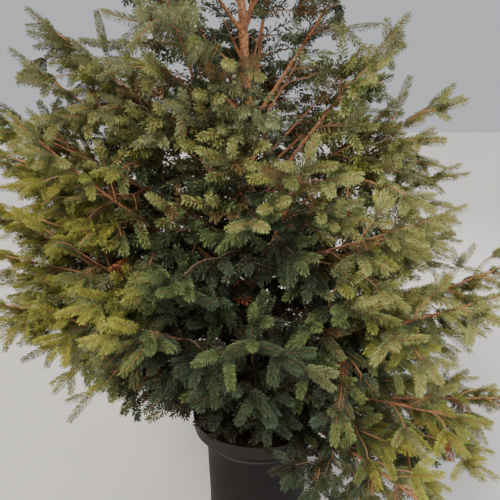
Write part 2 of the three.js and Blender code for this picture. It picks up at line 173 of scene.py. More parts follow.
# Gaps through the crown, as straight lines of sight from the photograph's side: where each
# crosses the trunk's plane, half its width and height there, and the y where it ends.
GAPS = [
    (-0.063, 1.830, 0.050, 0.105, -0.03), (0.040, 1.850, 0.045, 0.070, 2.0),
    (0.350, 1.895, 0.075, 0.055, 2.0), (0.205, 1.775, 0.040, 0.035, 2.0),
    (-0.140, 1.865, 0.050, 0.050, 2.0), (0.530, 1.600, 0.090, 0.045, 2.0),
    (-0.667, 0.400, 0.090, 0.065, 2.0), (-0.555, 1.196, 0.120, 0.050, -0.30),
    (-0.854, 1.104, 0.080, 0.042, -0.10), (-0.679, 1.009, 0.090, 0.046, -0.08),
    (0.180, 1.480, 0.062, 0.085, -0.12), (0.120, 1.400, 0.040, 0.050, -0.12),
    (-0.465, 1.850, 0.050, 0.044, 2.0), (-0.250, 1.700, 0.050, 0.040, -0.05),
]
GAPS_SEEN_FROM = (-0.030, -1.915, 1.525)


def colour_setting(name, description, default):
    """A colour that the sidebar shows."""
    return FloatVectorProperty(
        name=name, description=description, default=default, min=0, max=1, subtype="COLOR")


def length_setting(name, description, default, least, most):
    """A length that the sidebar shows."""
    return FloatProperty(
        name=name, description=description, default=default, min=least, max=most, unit="LENGTH")


class SpruceTree(bpy.types.PropertyGroup):
    """Sizes of the twigs and needles."""

    shoot_length: length_setting("Shoot length", "Length of one year's side shoot", 0.100, 0.03, 0.2)
    side_angle: FloatProperty(
        name="Side angle", description="Angle between a shoot and its side shoots",
        default=math.radians(50), min=0.1, max=1.4, subtype="ANGLE")
    sag: FloatProperty(
        name="Sag", description="How far the twigs bend down towards their tips",
        default=0.13, min=0, max=1, subtype="FACTOR")
    arch: FloatProperty(
        name="Arch", description="How far an older twig bows upwards, as a share of its length",
        default=0.18, min=0, max=0.5, subtype="FACTOR")
    needle_length: length_setting("Needle length", "Length of a needle", 0.0205, 0.005, 0.04)
    needle_width: length_setting("Needle width", "Width of a needle at its root", 0.0027, 0.0005, 0.006)
    needles_per_cm: FloatProperty(
        name="Needles per centimetre", description="Needles on each centimetre of young shoot",
        default=20.3, min=2, max=40)
    seed: IntProperty(
        name="Seed", description="Seed of the finer twigs", default=7, min=0)


class SpruceColours(bpy.types.PropertyGroup):
    """Plain base colours of the needles, dealt out by spray, and of the wood."""

    bright_tip: colour_setting("Bright tip", "Sunlit youngest shoots", (0.370, 0.370, 0.068))
    fresh_tip: colour_setting("Fresh tip", "Youngest shoots", (0.274, 0.290, 0.062))
    green: colour_setting("Green", "Shoots of this and last year", (0.158, 0.190, 0.056))
    leaf_green: colour_setting("Leaf green", "Last year's shoots", (0.096, 0.113, 0.042))
    cool_green: colour_setting("Cool green", "Older shoots high in the crown", (0.060, 0.086, 0.046))
    # Deep green is partly old needles' own dark colour and partly painted shade: shoots deep in the
    # crown are dealt it.
    deep_green: colour_setting("Deep green", "Old shoots within the crown", (0.031, 0.031, 0.014))
    pale_tip: colour_setting(
        "Pale tip", "Youngest shoots high up and on the right", (0.314, 0.326, 0.106))
    pale_green: colour_setting(
        "Pale green", "Shoots of this and last year high up and on the right", (0.178, 0.200, 0.080))
    shade_tip: colour_setting(
        "Shade tip", "Youngest shoots of the shaded lower middle", (0.113, 0.155, 0.049))
    shade_green: colour_setting(
        "Shade green", "Shoots of last year in the shaded lower middle", (0.052, 0.076, 0.031))
    high_tip: colour_setting("High tip", "Youngest shoots near the top", (0.240, 0.262, 0.122))
    high_green: colour_setting(
        "High green", "Shoots of this and last year near the top", (0.120, 0.144, 0.077))
    high_deep: colour_setting("High deep", "Bluish older shoots near the top", (0.058, 0.071, 0.050))
    # Russet is partly browned old needles and partly painted warm sunlight: it replaces dark greens
    # only outside the shaded middle, most in the sunlit parts.
    russet: colour_setting(
        "Russet", "Old browned needles deep in the sunlit parts", (0.145, 0.098, 0.038))
    dry: colour_setting("Dry", "Dead sprays low inside the crown", (0.340, 0.110, 0.035))
    new_twig: colour_setting("New twig", "Green stems of the youngest shoots", (0.410, 0.215, 0.090))
    young_twig: colour_setting("Young twig", "Orange-tan bark of the thin twigs", (0.520, 0.260, 0.125))
    old_twig: colour_setting("Old twig", "Brown bark of the thicker twigs", (0.400, 0.185, 0.095))
    shade_twig: colour_setting(
        "Shade twig", "Duller bark of the twigs in the shaded lower middle", (0.180, 0.110, 0.065))
    bark: colour_setting("Bark", "Orange-brown bark of the trunk and boughs", (0.440, 0.200, 0.096))
    bark_crack: colour_setting(
        "Bark crack", "Dark edges between the bark's scales", (0.110, 0.055, 0.034))


class SprucePot(bpy.types.PropertyGroup):
    """Sizes and colours of the pot and its soil."""

    height: length_setting("Height", "Height of the pot", 0.400, 0.1, 1)
    collar_radius: length_setting("Collar radius", "Outer radius of the collar", 0.250, 0.1, 1)
    wall: length_setting("Wall", "Thickness of the wall", 0.005, 0.001, 0.02)
    plastic: colour_setting("Plastic", "Dull black plastic", (0.0075, 0.0070, 0.0076))
    dust: colour_setting("Dust", "Dry dust on the plastic", (0.082, 0.066, 0.060))
    soil: colour_setting("Soil", "Dark potting soil", (0.060, 0.036, 0.023))


class SpruceStage(bpy.types.PropertyGroup):
    """Camera and floor."""

    camera_height: length_setting(
        "Camera height", "Height of the camera over the ground", 1.525, 0.1, 10)
    camera_distance: length_setting(
        "Camera distance", "Distance of the camera from the pot's middle", 1.915, 0.5, 20)
    camera_side: length_setting("Camera side", "How far the camera stands to the right", -0.030, -5, 5)
    camera_pitch: FloatProperty(
        name="Camera pitch", description="How far the camera looks down",
        default=math.radians(13.8), min=0, max=1.5, subtype="ANGLE")
    lens: FloatProperty(
        name="Lens", description="Focal length on a 36 mm square frame, in millimetres",
        default=38.5, min=10, max=200)
    floor: colour_setting("Floor", "Pale floor", (0.72, 0.70, 0.68))


# Materials

def new_material(name):
    """A node material with its node tree and its shader."""
    material = bpy.data.materials.new(name)
    material.use_nodes = True
    tree = material.node_tree
    return material, tree, tree.nodes["Principled BSDF"]


def place_texture(tree, texture, scale, stretch):
    """Sets a texture in object space, with its axes scaled as stretch says."""
    place = tree.nodes.new("ShaderNodeTexCoord")
    mapping = tree.nodes.new("ShaderNodeMapping")
    mapping.inputs["Scale"].default_value = stretch
    texture.inputs["Scale"].default_value = scale
    tree.links.new(place.outputs["Object"], mapping.inputs["Vector"])
    tree.links.new(mapping.outputs["Vector"], texture.inputs["Vector"])


def noise_node(tree, scale, detail=4.0, stretch=(1, 1, 1)):
    """A noise texture in object space."""
    texture = tree.nodes.new("ShaderNodeTexNoise")
    texture.inputs["Detail"].default_value = detail
    place_texture(tree, texture, scale, stretch)
    return texture.outputs["Fac"]


def times(colour, factor):
    """A darker or lighter colour."""
    return [min(1, c * factor) for c in colour]


def ramp(tree, source, stops):
    """A colour ramp from (position, colour) pairs."""
    node = tree.nodes.new("ShaderNodeValToRGB")
    elements = node.color_ramp.elements
    while len(elements) < len(stops):
        elements.new(0.5)
    for element, (position, colour) in zip(elements, stops):
        element.position = position
        element.color = (*colour[:3], 1)
    tree.links.new(source, node.inputs["Fac"])
    return node.outputs["Color"]


def rough_between(tree, shader, source, low, high):
    """Roughness that follows a texture between two values."""
    node = tree.nodes.new("ShaderNodeMapRange")
    node.inputs["To Min"].default_value = low
    node.inputs["To Max"].default_value = high
    tree.links.new(source, node.inputs["Value"])
    tree.links.new(node.outputs["Result"], shader.inputs["Roughness"])


def bump(tree, shader, source, strength, distance):
    """Fine relief from a texture."""
    node = tree.nodes.new("ShaderNodeBump")
    node.inputs["Strength"].default_value = strength
    node.inputs["Distance"].default_value = distance
    tree.links.new(source, node.inputs["Height"])
    tree.links.new(node.outputs["Normal"], shader.inputs["Normal"])


def needle_material(name, colour):
    """Waxy needles of one plain colour, with a little uneven gloss."""
    material, tree, shader = new_material(name)
    shader.inputs["Base Color"].default_value = (*colour, 1)
    shader.inputs["Specular IOR Level"].default_value = 0.35
    rough_between(tree, shader, noise_node(tree, 160.0), 0.42, 0.68)
    return material


def twig_material(name, colour):
    """Thin twig bark with fine lengthwise grain."""
    material, tree, shader = new_material(name)
    grain = noise_node(tree, 220.0, 3.0)
    stops = [(0.3, times(colour, 0.62)), (0.62, colour), (0.85, times(colour, 1.25))]
    tint = ramp(tree, grain, stops)
    tree.links.new(tint, shader.inputs["Base Color"])
    shader.inputs["Specular IOR Level"].default_value = 0.25
    rough_between(tree, shader, grain, 0.6, 0.85)
    bump(tree, shader, grain, 0.5, 0.0006)
    return material


def bark_material(name, colour, crack):
    """Thin scaly bark: plates of orange-brown with darker edges."""
    material, tree, shader = new_material(name)
    flakes = tree.nodes.new("ShaderNodeTexVoronoi")
    flakes.feature = "DISTANCE_TO_EDGE"
    place_texture(tree, flakes, 95.0, (1, 1, 0.55))
    grey = [0.6 * c + 0.4 * sum(colour) / 3 for c in colour]
    broad = noise_node(tree, 26.0, 5.0)
    plates = ramp(tree, broad, [(0.30, grey), (0.52, colour), (0.78, times(colour, 1.5))])
    edges = ramp(tree, flakes.outputs["Distance"], [(0.0, (0, 0, 0)), (0.10, (1, 1, 1))])
    mix = tree.nodes.new("ShaderNodeMix")
    mix.data_type = "RGBA"
    mix.inputs["A"].default_value = (*crack, 1)
    tree.links.new(edges, mix.inputs["Factor"])
    tree.links.new(plates, mix.inputs["B"])
    tree.links.new(mix.outputs["Result"], shader.inputs["Base Color"])
    shader.inputs["Specular IOR Level"].default_value = 0.2
    rough_between(tree, shader, broad, 0.72, 0.95)
    bump(tree, shader, edges, 0.6, 0.0012)
    return material


def plastic_material(name, colour, dust, height):
    """Dull black plastic with fine scuffs, dustier on the collar and the foot, with a light band of the
    dust colour on the ring.
    """
    material, tree, shader = new_material(name)
    place = tree.nodes.new("ShaderNodeTexCoord")
    parts = tree.nodes.new("ShaderNodeSeparateXYZ")
    tree.links.new(place.outputs["Object"], parts.inputs["Vector"])
    shoulder = height - COLLAR_HEIGHT
    ring = shoulder - RING_DROP
    # The ring's narrow band takes the full dust colour, a light line round the pot.
    levels = [(0.0, 0.35), (0.06, 0.06), (ring - 0.007, 0.03), (ring - 0.002, 1.0),
              (ring + 0.004, 1.0), (ring + 0.006, 0.03), (shoulder - 0.002, 0.02),
              (shoulder + 0.004, 0.26), (height, 0.34)]
    dust_colour_share = ramp(tree, parts.outputs["Z"], [(z, (share, share, share)) for z, share in levels])
    patches = noise_node(tree, 9.0, 8.0, (1, 1, 0.5))
    streaks = ramp(tree, patches, [(0.34, (0.35, 0.35, 0.35)), (0.62, (1, 1, 1))])
    amount = tree.nodes.new("ShaderNodeMath")
    amount.operation = "MULTIPLY"
    tree.links.new(dust_colour_share, amount.inputs[0])
    tree.links.new(streaks, amount.inputs[1])
    tint = ramp(tree, amount.outputs["Value"], [(0.0, colour), (1.0, dust)])
    tree.links.new(tint, shader.inputs["Base Color"])
    shader.inputs["Specular IOR Level"].default_value = 0.22
    fine = noise_node(tree, 240.0, 6.0, (1, 1, 0.15))
    rough_between(tree, shader, patches, 0.42, 0.8)
    bump(tree, shader, fine, 0.12, 0.0006)
    return material


def soil_material(name, colour):
    """Crumbly soil with paler bark chips."""
    material, tree, shader = new_material(name)
    crumbs = noise_node(tree, 90.0, 10.0)
    stops = [(0.34, times(colour, 0.35)), (0.55, colour), (0.74, times(colour, 2.6))]
    tint = ramp(tree, crumbs, stops)
    tree.links.new(tint, shader.inputs["Base Color"])
    shader.inputs["Specular IOR Level"].default_value = 0.15
    rough_between(tree, shader, crumbs, 0.85, 1.0)
    bump(tree, shader, crumbs, 0.9, 0.004)
    return material


# Meshes

def mesh_object(name, points, triangles, materials, looks=None, smooth=False):
    """A mesh object from arrays of points, triangles and material numbers."""
    mesh = bpy.data.meshes.new(name)
    count = len(triangles)
    mesh.vertices.add(len(points))
    mesh.vertices.foreach_set("co", np.asarray(points, np.float32).ravel())
    mesh.loops.add(count * 3)
    mesh.loops.foreach_set("vertex_index", np.asarray(triangles, np.int32).ravel())
    mesh.polygons.add(count)
    mesh.polygons.foreach_set("loop_start", np.arange(0, count * 3, 3, dtype=np.int32))
    for material in materials:
        mesh.materials.append(material)
    if looks is not None:
        mesh.polygons.foreach_set("material_index", np.asarray(looks, np.int32))
    mesh.polygons.foreach_set("use_smooth", np.full(count, smooth))
    mesh.update(calc_edges=True)
    mesh.validate()
    piece = bpy.data.objects.new(name, mesh)
    bpy.context.scene.collection.objects.link(piece)
    return piece


def ring_faces(rings, sides, first=0):
    """Triangles between neighbouring rings of points."""
    i = np.arange(rings - 1)[:, None] * sides
    j = np.arange(sides)[None, :]
    k = (j + 1) % sides
    a, b = first + i + j, first + i + k
    c, d = b + sides, a + sides
    faces = np.stack([np.stack([a, b, c], -1), np.stack([a, c, d], -1)], 2)
    return faces.reshape(-1, 3)


# The limbs' rule

def seeded(seed):
    """Numbers from 0 to 1, always the same for one seed."""
    state = seed & 0xFFFFFFFF

    def draw():
        nonlocal state
        state = (state + 0x6D2B79F5) & 0xFFFFFFFF
        t = ((state ^ (state >> 15)) * (1 | state)) & 0xFFFFFFFF
        t = ((t + (((t ^ (t >> 7)) * (61 | t)) & 0xFFFFFFFF)) & 0xFFFFFFFF) ^ t
        return (t ^ (t >> 14)) / 4294967296

    return draw


def heading(bearing, rise):
    """The direction with that bearing and rise, in degrees."""
    level = math.cos(math.radians(rise))
    around = math.radians(bearing)
    return Vector((math.cos(around) * level, math.sin(around) * level, math.sin(math.radians(rise))))


def trunk_centre(z):
    """The trunk's middle at a height: a slight lean with a slow sway."""
    above = z - SOIL_LEVEL
    sway = TRUNK_SWAY * math.sin(2 * math.pi * above / SWAY_LENGTH)
    return Vector((TRUNK_LEAN * above + sway, -0.6 * sway, z))


def trunk_radius(z):
    """The trunk's radius at a height, with the root flare."""
    share = (z - SOIL_LEVEL) / (TRUNK_TIP - SOIL_LEVEL)
    flare = FLARE_RADIUS * math.exp(-(z - SOIL_LEVEL) / FLARE_HEIGHT)
    return TRUNK_BASE_RADIUS + (TRUNK_TIP_RADIUS - TRUNK_BASE_RADIUS) * share + flare


def level_side(along, bearing):
    """The level direction to the right of a limb that points along."""
    side = along.cross(UP)
    if side.length < 0.15:
        return heading(bearing - 90, 0)
    return side.normalized()


class Bough:
    """One bough: its middle line, its thickness and the sprays that its solid has."""

    def __init__(self, name, whorl, height, shape, sweep, seed, pairs):
        self.name, self.whorl = name, whorl
        self.bearing, self.length, self.rise, self.bend = shape
        self.seed, self.pairs = seed, pairs
        step = self.length / AXIS_STEPS
        self.points = [trunk_centre(height)]
        for i in range(AXIS_STEPS):
            share = (i + 0.5) / AXIS_STEPS
            along = heading(self.bearing + sweep * share, self.rise + self.bend * share)
            self.points.append(self.points[-1] + along * step)

    def at(self, share):
        """The point at a share of the length."""
        place = min(max(share, 0), 1) * AXIS_STEPS
        i = min(int(place), AXIS_STEPS - 1)
        return self.points[i].lerp(self.points[i + 1], place - i)

    def along(self, share):
        """The direction at a share of the length."""
        return (self.at(share + 0.02) - self.at(share - 0.02)).normalized()

    def radius(self, share):
        """The limb's radius at a share of the length."""
        thick = STOUTNESS * self.length * (1 - LIMB_TAPER * share)
        return max(thick, SHORTEST_RADIUS * (1.6 - share))


def all_boughs():
    """Every bough of every whorl, and the leader."""
    boughs = []
    for w, (whorl, height, shapes) in enumerate(WHORLS):
        for i, shape in enumerate(shapes):
            sweep = (-1 if i % 2 else 1) * (4 + w)
            seed = 101 * (w + 1) + 13 * i
            pairs = 3 if shape[1] > 0.7 else 2
            name = f"{whorl}_{i + 1}"
            boughs.append(Bough(name, whorl, height, shape, sweep, seed, pairs))
    boughs.append(Bough("leader", "top", TRUNK_TIP, LEADER, 0, 991, 2))
    return boughs


def spray_size(progress):
    """A spray's length as a share of its bough's, from the first spray to the last."""
    return LONGEST_SPRAY + (SHORTEST_SPRAY - LONGEST_SPRAY) * progress


def sprays_of(bough):
    """The sprays that the bough's solid has: share, hand, angle, lift, roll and length."""
    draw = seeded(bough.seed)
    sprays = []
    for i in range(bough.pairs):
        progress = i / (bough.pairs - 1)
        for hand in (1, -1):
            jitter = (draw() - 0.5) * 0.05 + hand * 0.015
            share = FIRST_SPRAY + (LAST_SPRAY - FIRST_SPRAY) * progress + jitter
            angle = SPRAY_ANGLE - SPRAY_CLOSING * progress + (draw() - 0.5) * 10
            lift = -SPRAY_DROOP + (draw() - 0.5) * 16
            roll = hand * (28 - 70 * draw())
            length = spray_size(progress) * bough.length * (0.88 + 0.24 * draw())
            sprays.append((share, hand, angle, lift, roll, length))
    if bough.length > 0.5:
        for share, angle, length in ((0.5, -46, 0.26), (0.66, 36, 0.2)):
            share += (draw() - 0.5) * 0.1
            length *= bough.length * (0.85 + 0.3 * draw())
            sprays.append((share, 0, angle, 0, 40 + 45 * draw(), length))
    return sprays


def finer_sprays_of(bough, rng):
    """More sprays between those of the solid, by the same rule and within their reach."""
    sprays = []
    count = bough.pairs
    for i in range(count):
        progress = (i + 0.5) / count
        for hand in (1, -1):
            share = FIRST_SPRAY + (LAST_SPRAY - FIRST_SPRAY) * progress
            share += rng.uniform(-0.02, 0.02) - hand * 0.012
            if rng.random() < 0.3:
                continue
            angle = SPRAY_ANGLE - SPRAY_CLOSING * progress + rng.uniform(-8, 8)
            length = spray_size(progress) * bough.length * rng.uniform(0.6, 0.95)
            lift = -SPRAY_DROOP + rng.uniform(-22, 24)
            sprays.append((share, hand, angle, lift, rng.uniform(-25, 25), length))
    for i in range(max(1, round(bough.length / 0.4))):
        share = rng.uniform(0.34, 0.84)
        angle = rng.choice((-62, -52, -42, 34))
        length = bough.length * rng.uniform(0.14, 0.26)
        sprays.append((share, 0, angle, 0, rng.uniform(-50, 50), length))
    for i in range(round(bough.length / 0.32) if bough.points[0].z < 1.1 else 0):
        share = rng.uniform(0.10, 0.38)
        length = rng.uniform(0.12, 0.26) * min(1, bough.length / 0.8)
        hand = rng.choice((1, -1))
        sprays.append((share, hand, rng.uniform(46, 74), rng.uniform(-40, 30), 0, length))
    return sprays


def placed(bough, spray):
    """Where a spray starts, which way it points, and its upper side."""
    share, hand, angle, lift, roll, length = spray
    stem = bough.along(share)
    side = level_side(stem, bough.bearing)
    over = side.cross(stem)
    turn = math.radians(angle)
    if hand:
        along = stem * math.cos(turn) + side * (hand * math.sin(turn))
        along += over * math.sin(math.radians(lift))
        flat = along.cross(over)
    else:
        along = stem * math.cos(turn) + over * math.sin(turn)
        flat = side.copy()
    along.normalize()
    flat = (flat - along * flat.dot(along)).normalized()
    flat.rotate(Matrix.Rotation(math.radians(roll), 3, along))
    return bough.at(share), along, flat.cross(along)


def crown_depth(x, y, z):
    """How deep a point lies in the crown: 0 at its outside and 1 at the trunk."""
    reach = min(1.0, 1.9 * z - 0.25, max(0.15, 1.0 - 0.42 * (z - 1.0)))
    below_top = min(1.0, max(0.0, (2.5 - z) / 0.4))
    return below_top * max(0.0, 1 - math.hypot(x - TRUNK_LEAN * z, y) / reach)


def in_gap(point):
    """True in one of the gaps through the crown."""
    x, y, z = GAPS_SEEN_FROM
    scale = -y / (point.y - y)
    across, up = x + (point.x - x) * scale, z + (point.z - z) * scale
    return any(point.y < back and math.hypot((across - a) / width, (up - b) / height) < 1
               for a, b, width, height, back in GAPS)


class Growth:
    """Collects the yearly shoots of some masses."""

    UNEVEN = (0.86, 1.14)
    WANDER = 0.05
    TIP_LIFT = 0.10
    # Painted shade: side shoots from older nodes, further inside a spray, take tints darker by this
    # much per year of the node.
    PAINTED_SHADE_PER_YEAR = 0.55
    THIRD_SHOOTS = 0.3
    THIRD_SHOOTS_BELOW = 0.65
    BARE_BETWEEN = 0.80

    def __init__(self, tree):
        self.rng, self.tree = None, tree
        self.rows = []
        self.space = None
        self.shade = 0.0

    def fits(self, point):
        """True inside the mass's own space, above the ground and off the pot."""
        low, high = self.space
        if any(point[k] < low[k] or point[k] > high[k] for k in range(3)):
            return False
        at_pot = math.hypot(point.x, point.y) < POT_ROOM and point.z < POT_TOP
        return point.z > LOWEST_SHOOT and not at_pot and not in_gap(point)

    def shoot(self, start, end, along, over, age, arch=0.0):
        """One year's growth, which sets out along its first direction and may arch."""
        length = (end - start).length
        pull = start + along * (length / 2) + over * (arch * length)
        self.rows.append((*start, *pull, *end, *over, age, crown_depth(*end), self.shade))

    def branch(self, start, along, over, years, step, depth):
        """Yearly shoots one after another, with side branches between them."""
        rng, tree = self.rng, self.tree
        here, direction = start, along
        for year in range(years):
            age = years - 1 - year
            length = step * (1 - SHORTENING * year) * rng.uniform(*self.UNEVEN)
            sag = tree.sag * (0.5 + 0.5 * year) * (1.5 if depth else 1)
            bent = direction - UP * sag + Vector([rng.gauss(0, self.WANDER) for _ in range(3)])
            if age == 0 and depth == 0:
                bent += UP * self.TIP_LIFT
            bent.normalize()
            end = here + (direction + bent).normalized() * length
            if not self.fits(end):
                return
            side = direction.cross(over).normalized()
            over = side.cross(direction).normalized()
            self.shoot(here, end, direction, over, age, tree.arch if age else 0.0)
            if age:
                self.side_branches(end, bent, side, over, age, depth)
                if depth < 2:
                    self.between(here, end, direction, side, over, age)
            here, direction = end, bent

    def side_branches(self, node, along, side, over, age, depth):
        """A pair of side branches at a node, and sometimes one below or above it."""
        rng, tree = self.rng, self.tree
        shade = self.shade
        # Painted shade: the side shoots of an older node take darker tints.
        self.shade += self.PAINTED_SHADE_PER_YEAR * (age - 1)
        years = 2 if age > 2 and depth == 0 else 1
        for hand in (1, -1):
            turn = tree.side_angle + rng.uniform(-0.2, 0.2)
            out = along * math.cos(turn) + side * (hand * math.sin(turn))
            out -= over * rng.uniform(-0.05, 0.3) + UP * rng.uniform(0.0, 0.3)
            reach = tree.shoot_length * rng.uniform(0.72, 0.98)
            self.branch(node, out.normalized(), over, years, reach, depth + 1)
        if depth < 2 and rng.random() < self.THIRD_SHOOTS:
            lift = -0.8 if rng.random() < self.THIRD_SHOOTS_BELOW else 0.6
            out = along * 0.7 + over * lift + side * rng.uniform(-0.5, 0.5)
            reach = tree.shoot_length * rng.uniform(0.5, 0.85)
            self.branch(node, out.normalized(), over, 1, reach, depth + 1)
        self.shade = shade

    def between(self, start, end, along, side, over, age):
        """Short side shoots part of the way along an older year's growth."""
        rng, tree = self.rng, self.tree
        shade = self.shade
        # Painted shade: short side shoots along an older year's growth take darker tints.
        self.shade += self.PAINTED_SHADE_PER_YEAR * age
        for hand in (1, -1):
            if rng.random() < self.BARE_BETWEEN:
                continue
            turn = tree.side_angle + rng.uniform(-0.1, 0.3)
            out = along * math.cos(turn) + side * (hand * math.sin(turn))
            out -= over * rng.uniform(0.0, 0.3) + UP * rng.uniform(0.1, 0.5)
            node = start.lerp(end, rng.uniform(0.3, 0.75))
            reach = tree.shoot_length * rng.uniform(0.6, 0.85)
            self.branch(node, out.normalized(), over, 1, reach, 2)
        self.shade = shade


def years_and_step(length):
    """How many years a branch of that length has, and its first year's growth."""
    years = max(1, min(5, round(length / YEAR)))
    return years, length / (years - SHORTENING / 2 * years * (years - 1))


def grow_sprays(growth, bough, sprays):
    """The shoots of some sprays and of the bough's own outer part."""
    rng = growth.rng
    for spray in sprays:
        start, along, over = placed(bough, spray)
        years, step = years_and_step(spray[5])
        growth.shade = rng.gauss(0, 0.45)
        growth.branch(start, along, over, years, step, 0)
    grow_axis(growth, bough)


def grow_mass(growth, bough):
    """All shoots of one mass, within the reach of its solid."""
    growth.rng = random.Random(bough.seed + 10000 * growth.tree.seed)
    low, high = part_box("foliage_" + bough.name)
    start = bough.points[0]
    growth.space = (
        Vector(map(min, low - MASS_ROOM - UP * SAG_ROOM, start - ROOT_ROOM)),
        Vector(map(max, high + MASS_ROOM, start + ROOT_ROOM)),
    )
    grow_sprays(growth, bough, sprays_of(bough) + finer_sprays_of(bough, growth.rng))


def grow_axis(growth, bough):
    """The outer part of a bough's own line, with side branches near its tip."""
    growth.shade = growth.rng.gauss(0, 0.3)
    years = max(3, round((1 - AXIS_START) * bough.length / YEAR))
    for year in range(years):
        a = AXIS_START + (1 - AXIS_START) * year / years
        b = AXIS_START + (1 - AXIS_START) * (year + 1) / years
        age = years - 1 - year
        along = bough.along(a)
        side = level_side(along, bough.bearing)
        over = side.cross(along)
        growth.shoot(bough.at(a), bough.at(b), along, over, age)
        if 0 < age < 4:
            growth.side_branches(bough.at(b), bough.along(b), side, over, age, 0)
        if age:
            growth.between(bough.at(a), bough.at(b), along, side, over, age)


def thin_branches(number, seed):
    """The thinner branches between a whorl and the next: height, bearing, length and rise."""
    rng = random.Random(number + 100 * seed)
    height, shapes = WHORLS[number][1:]
    above = WHORLS[number + 1][1] if number + 1 < len(WHORLS) else TRUNK_TIP
    longest = max(shape[1] for shape in shapes)
    rise = sum(shape[2] for shape in shapes) / len(shapes)
    branches = [branch for branch in THIN_BRANCHES if height < branch[0] < above]
    z = height
    bearing = rng.uniform(0, 360)
    step = 0.050 + 0.006 * number + 0.02 * (number > 2) + 0.05 * (number > 3)
    if height > BUSHY_TOP:
        step, longest = 0.040, 0.72 * longest
    while z < above - 0.06:
        z += step
        bearing += GOLDEN_ANGLE + rng.uniform(-18, 18)
        towards_front = math.cos(math.radians(bearing + 90))
        towards_left = math.cos(math.radians(bearing - OPEN_LEFT_BEARING))
        length = longest * rng.uniform(0.42, 0.80)
        open_left = z < OPEN_LEFT_TO and towards_left > 0.6
        open_front = OPEN_FRONT_FROM <= z <= BUSHY_TOP and towards_front >= 0.3
        if not open_left and not open_front:
            branches.append((z, bearing, length, rise + rng.uniform(-10, 8)))
    for i in range(SKIRT_BRANCHES if number == 0 else 0):
        bearing = 360 * (i + rng.uniform(0, 0.7)) / SKIRT_BRANCHES
        branches.append((0.43 + 0.03 * (i % 3), bearing, rng.uniform(0.28, 0.36), 12))
    return branches


def grow_stem(growth, leader):
    """Needles on the youngest part of the trunk and the leader, and the leader's side shoots."""
    growth.rng = random.Random(growth.tree.seed)
    growth.shade = 0.0
    heights = [NEEDLED_STEM + (TRUNK_TIP - NEEDLED_STEM) * i / 9 for i in range(10)]
    stem = [trunk_centre(z) for z in heights] + [leader.at(0.14), leader.at(0.28), leader.at(0.42)]
    for low, high in zip(stem, stem[1:]):
        growth.shoot(low, high, UP, heading(-90, 0), 0.99)
    for i in range(16):
        share = i / 15
        bearing = GOLDEN_ANGLE * i
        side = heading(bearing, 44 + 10 * share)
        node = trunk_centre(2.60 + 0.09 * share * 2) if share < 0.5 else leader.at(2 * share - 1.05)
        over = level_side(side, bearing).cross(side)
        growth.branch(node, side, over, 1, 0.105 - 0.035 * share, 0)


def grow_thin(growth, branch):
    """One thinner branch, grown like a bough without its finer sprays."""
    height, bearing, length, rise = branch
    rng = random.Random(round(7919 * height + 131 * bearing) + 10000 * growth.tree.seed)
    growth.rng = rng
    growth.space = (Vector((-2, -2, 0)), Vector((2, 2, 3)))
    shape = (bearing, length, rise, 4)
    pairs = 3 if length > 0.7 else 2
    bough = Bough("thin", "", height, shape, rng.uniform(-6, 6), rng.randrange(9999), pairs)
    for i in range(3):
        a, b = AXIS_START * i / 3, AXIS_START * (i + 1) / 3
        along = bough.along(a)
        over = level_side(along, bearing).cross(along)
        growth.shoot(bough.at(a), bough.at(b), along, over, 7 - i)
    grow_sprays(growth, bough, sprays_of(bough))


# Twigs and needles from the collected shoots

# The columns of a row of shoots: three points of its curve, its upper side, its age in years,
# its depth in the crown and how far its tint is shifted, by chance per spray and by painted
# shade for side shoots inside a spray.
START, PULL, END, OVER = slice(0, 3), slice(3, 6), slice(6, 9), slice(9, 12)
END_X, END_Y, END_Z = 6, 7, 8
AGE, DEPTH, SHADE = 12, 13, 14

TINTS = (
    "bright_tip", "fresh_tip", "green", "leaf_green", "cool_green", "deep_green", "dry",
    "pale_tip", "pale_green", "shade_tip", "shade_green", "russet", "high_tip", "high_green",
    "high_deep",
)
(BRIGHT_TIP, FRESH_TIP, GREEN, LEAF_GREEN, COOL_GREEN, DEEP_GREEN, DRY, PALE_TIP, PALE_GREEN,
 SHADE_TIP, SHADE_GREEN, RUSSET, HIGH_TIP, HIGH_GREEN, HIGH_DEEP) = range(len(TINTS))
TWIG_TINTS = ("new_twig", "young_twig", "old_twig", "shade_twig")
SHADE_TWIG = 3

# For each tint up to pale green: the chance of russet, browned needles partly painted as warm
# sunlight, in the cooler and in the warmer, sunlit parts of the crown, and the tint that takes
# its place near the top.
RUSSET_COOL = np.array([0, 0, 0.12, 0.30, 0.78, 0.92, 0, 0, 0.1])
RUSSET_WARM = np.array([0, 0, 0.62, 0.78, 0.90, 0.95, 0, 0, 0.7])
HIGH_TINTS = np.array([
    HIGH_TIP, HIGH_TIP, HIGH_GREEN, HIGH_GREEN, HIGH_DEEP, HIGH_DEEP, DRY, HIGH_TIP, HIGH_GREEN,
])

# The turn from a needle to the next in radians, the depths between which the needles grow
# longer and wider, and how much wider they are low at the back.
NEEDLE_TURN = 2.39996
DEEP_FROM_TO = (0.30, 0.60)
LOW_BACK_WIDER = 1.9


def unit(v):
    """Rows scaled to length one."""
    return v / np.maximum(np.linalg.norm(v, axis=1, keepdims=True), 1e-9)


def along_shoot(shoots, share):
    """Points and directions at a share of each shoot's curve."""
    s = share[:, None]
    a, b, c = shoots[:, START], shoots[:, PULL], shoots[:, END]
    point = (1 - s) ** 2 * a + 2 * s * (1 - s) * b + s**2 * c
    direction = unit(2 * (1 - s) * (b - a) + 2 * s * (c - b))
    return point, direction


def across_shoot(shoots, direction):
    """The upper and the right-hand side of each shoot."""
    over = shoots[:, OVER]
    over = unit(over - direction * (over * direction).sum(1, keepdims=True))
    return over, np.cross(direction, over)


def outward(point):
    """Level directions away from the trunk."""
    level = point * (1, 1, 0) - np.array([[TRUNK_LEAN, 0, 0]]) * point[:, 2:3]
    return unit(level)


def twig_radius(age):
    """A twig's radius by its age in years."""
    return 0.0012 + 0.00072 * age


